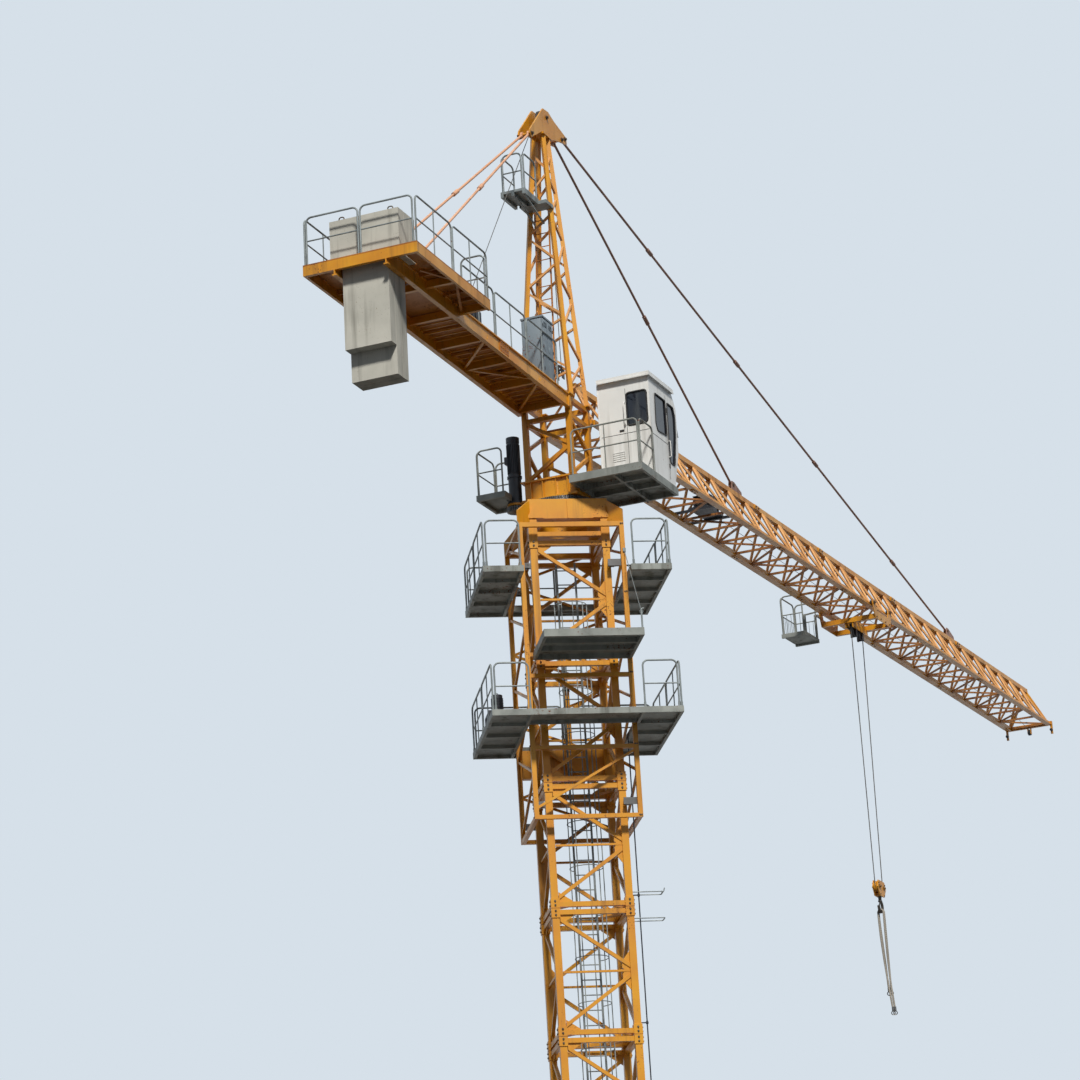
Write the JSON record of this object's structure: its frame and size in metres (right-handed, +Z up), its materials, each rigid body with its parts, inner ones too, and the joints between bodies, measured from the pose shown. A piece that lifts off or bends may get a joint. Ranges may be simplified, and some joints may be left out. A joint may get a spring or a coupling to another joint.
{
  "type": "tower crane scale model",
  "caption": "Hammerhead tower crane at 1:2 scale with climbing cage, cab, tapered cap, tie bars, counterweights and a trolley with hook block on its jib.",
  "frame": {"origin": "centre of the mast's foot, on the flat underside of the base frame", "axes": "+X along the jib at rest, +Y to the jib's left, +Z up"},
  "size_m": [21.6778, 2.4587, 17.522],
  "materials": {
    "yellow_paint": "semi_gloss",
    "pale_paint": "semi_gloss",
    "galvanised": "satin",
    "dark_steel": "matte",
    "white_paint": "gloss",
    "concrete": "matte",
    "rope": "satin",
    "glass": "clear",
    "fabric": "matte",
    "sling": "matte"
  },
  "bodies": {
    "mast_body": {"base_frame": "yellow_paint", "mast_chords": "yellow_paint", "mast_front": "yellow_paint", "mast_rear": "yellow_paint", "mast_left": "yellow_paint", "mast_right": "yellow_paint", "mast_ladder": "galvanised", "cage_legs": "yellow_paint", "cage_left": "yellow_paint", "cage_right": "yellow_paint", "cage_rear": "yellow_paint", "cage_front": "yellow_paint", "cage_beam": "yellow_paint", "cage_ram": "yellow_paint", "cage_decks": "galvanised", "cage_rails": "galvanised", "pump_unit": "dark_steel", "lower_support": "yellow_paint", "ring_gear": "galvanised"},
    "crane_top": {"ring_inner": "galvanised", "upper_support": "yellow_paint", "slew_drive": "dark_steel", "tower_posts": "yellow_paint", "tower_bracing": "yellow_paint", "side_deck": "galvanised", "cap_legs": "yellow_paint", "cap_sides": "pale_paint", "cap_ends": "pale_paint", "cap_head": "yellow_paint", "head_pulley": "dark_steel", "cap_rest": "galvanised", "rear_beams": "yellow_paint", "rear_deck": "galvanised", "rear_rails": "galvanised", "hoist_winch": "dark_steel", "cabinet": "galvanised", "counterweights": "concrete", "rear_ties": "pale_paint", "cab_shell": "white_paint", "cab_glass": "glass", "cab_seat": "fabric", "cab_deck": "galvanised", "jib_chords": "yellow_paint", "jib_left": "pale_paint", "jib_right": "pale_paint", "jib_bottom": "pale_paint", "jib_tip": "yellow_paint", "jib_ties": "pale_paint", "trolley_winch": "dark_steel"},
    "pinion_body": {"slew_pinion": "galvanised"},
    "trolley": {"trolley_frame": "yellow_paint", "trolley_basket": "galvanised", "trolley_wheels": "dark_steel", "trolley_sheaves": "dark_steel", "hoist_ropes": "rope"},
    "block_body": {"hook_block": "yellow_paint"},
    "hook_body": {"hook": "dark_steel", "slings": "sling"}
  },
  "joints": [
    {"name": "slew", "type": "hinge", "parent": "mast_body", "child": "crane_top", "pos_m": [0, 0, 13.1], "axis": [0, 0, 1], "continuous": true},
    {"name": "pinion_spin", "type": "hinge", "parent": "crane_top", "child": "pinion_body", "pos_m": [-0.2101, 0.40359, 13.1], "axis": [0, 0, 1], "continuous": true},
    {"name": "trolley_travel", "type": "slide", "parent": "crane_top", "child": "trolley", "axis": [0.9993, 0, 0.0366], "range_m": [-7.5, 7.1]},
    {"name": "hoist", "type": "slide", "parent": "trolley", "child": "block_body", "axis": [0, 0, 1], "range_m": [-8.4, 2.8], "deforming": ["hoist_ropes"]},
    {"name": "hook_swivel", "type": "hinge", "parent": "block_body", "child": "hook_body", "pos_m": [9.45153, 0, 10.78043], "axis": [0, 0, 1], "continuous": true}
  ],
  "couplings": [
    {"joint": "pinion_spin", "follows": "slew", "ratio": 4}
  ]
}
